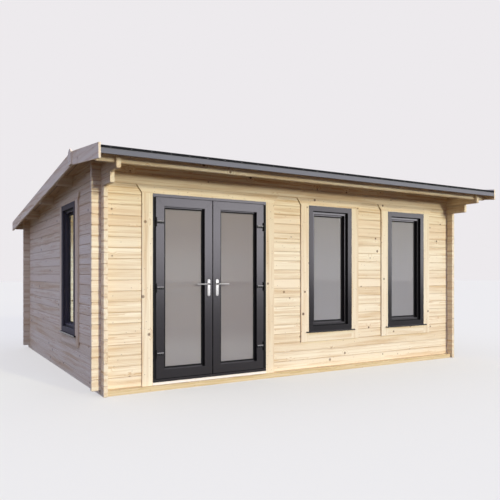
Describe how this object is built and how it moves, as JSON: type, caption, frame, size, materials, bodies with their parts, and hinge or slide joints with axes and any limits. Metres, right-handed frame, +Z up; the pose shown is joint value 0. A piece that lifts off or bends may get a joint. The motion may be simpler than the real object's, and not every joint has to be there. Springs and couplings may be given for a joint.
{
  "type": "garden office pod",
  "caption": "Timber log cabin with interlocking corners, a low asymmetrical two-slope roof, glazed double doors that open outwards and tall fixed windows.",
  "frame": {"origin": "on the ground under the middle of the roof", "axes": "+X along the front to the right seen from outside, +Y from the front to the back, +Z up"},
  "size_m": [5.758, 5.407, 2.6188],
  "materials": {
    "log_pine": "planed bare softwood",
    "roof_timber": "planed bare softwood",
    "trim_pine": "planed bare softwood",
    "bearer_timber": "pressure treated softwood",
    "floor_boards": "planed tongue and groove boards",
    "roof_felt": "mineral faced felt",
    "grey_fascia": "painted satin",
    "anthracite_frame": "satin foil",
    "dark_hinge": "satin",
    "grey_glass": "polished",
    "bright_handle": "polished"
  },
  "bodies": {
    "cabin": {"side_bearers": "bearer_timber", "cross_bearers": "bearer_timber", "floor_joists": "bearer_timber", "floor": "floor_boards", "front_wall_left_pier": "log_pine", "front_wall_middle_pier": "log_pine", "front_wall_window_pier": "log_pine", "front_wall_right_pier": "log_pine", "front_wall_lower_logs": "log_pine", "front_wall_head_logs": "log_pine", "front_wall_top_logs": "log_pine", "left_wall_front_part": "log_pine", "left_wall_back_part": "log_pine", "left_wall_lower_logs": "log_pine", "left_wall_upper_logs": "log_pine", "right_wall": "log_pine", "back_wall": "log_pine", "front_eaves_beam": "roof_timber", "back_eaves_beam": "roof_timber", "purlins": "roof_timber", "roof_boards_front": "roof_timber", "roof_boards_back": "roof_timber", "felt_front": "roof_felt", "felt_back": "roof_felt", "barge_boards_front": "trim_pine", "barge_boards_back": "trim_pine", "apex_covers": "trim_pine", "door_surround": "trim_pine", "window_side_boards": "trim_pine", "window_lintels": "trim_pine", "window_aprons": "trim_pine", "threshold": "trim_pine", "front_fascia": "grey_fascia", "back_fascia": "grey_fascia", "door_frame": "anthracite_frame", "near_window_frame": "anthracite_frame", "far_window_frame": "anthracite_frame", "side_window_frame": "anthracite_frame", "near_window_sash": "anthracite_frame", "far_window_sash": "anthracite_frame", "side_window_sash": "anthracite_frame", "window_sills": "anthracite_frame", "frame_hinges": "dark_hinge", "window_glass": "grey_glass"},
    "left_leaf": {"left_door": "anthracite_frame", "left_door_glass": "grey_glass", "left_door_hinges": "dark_hinge", "left_handle_plate": "bright_handle"},
    "left_handle": {"left_lever": "bright_handle"},
    "right_leaf": {"right_door": "anthracite_frame", "right_door_glass": "grey_glass", "right_door_hinges": "dark_hinge", "right_handle_plate": "bright_handle"},
    "right_handle": {"right_lever": "bright_handle"}
  },
  "joints": [
    {"name": "left_door_swing", "type": "hinge", "parent": "cabin", "child": "left_leaf", "pos_m": [-2.066, -2.0925, 1.1], "axis": [0, 0, -1], "range_deg": [0, 100]},
    {"name": "right_door_swing", "type": "hinge", "parent": "cabin", "child": "right_leaf", "pos_m": [-0.684, -2.0925, 1.1], "axis": [0, 0, 1], "range_deg": [0, 100]},
    {"name": "left_lever_turn", "type": "hinge", "parent": "left_leaf", "child": "left_handle", "pos_m": [-1.4285, -2.0915, 1.146], "axis": [0, -1, 0], "range_deg": [0, 40], "stiffness_Nm_per_rad": 1, "springref_deg": -34.38},
    {"name": "right_lever_turn", "type": "hinge", "parent": "right_leaf", "child": "right_handle", "pos_m": [-1.3215, -2.0915, 1.146], "axis": [0, 1, 0], "range_deg": [0, 40], "stiffness_Nm_per_rad": 1, "springref_deg": -34.38}
  ]
}
